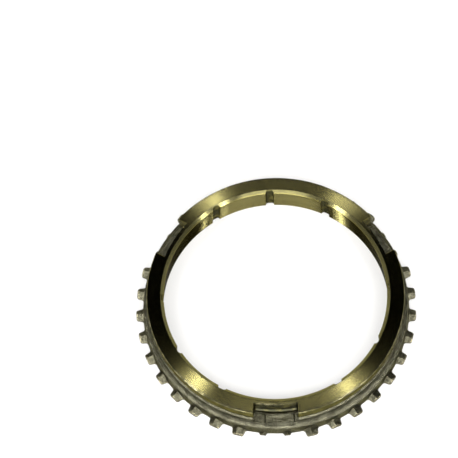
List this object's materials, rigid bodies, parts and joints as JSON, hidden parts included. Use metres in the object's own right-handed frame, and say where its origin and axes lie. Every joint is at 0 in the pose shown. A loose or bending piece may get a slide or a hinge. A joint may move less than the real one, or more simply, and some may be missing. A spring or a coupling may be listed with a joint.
{
  "type": "synchronizer ring",
  "caption": "Forged brass synchronizer ring with a grooved friction cone in its bore, pointed dog teeth round its foot and key slots in its hub side.",
  "frame": {"origin": "on the ring's axis, at the height of the flat land of the gear side that it lies on", "axes": "+Z along the ring's axis from the gear side to the hub side; the key slot seen at the front of the picture is towards -Y"},
  "size_m": [0.0732, 0.0723, 0.0095],
  "materials": {
    "forged_brass": "turned bright on the faces and the cone, as forged and dull on the flange and the teeth"
  },
  "bodies": {
    "root": {"synchronizer_ring": "forged_brass"}
  },
  "joints": []
}
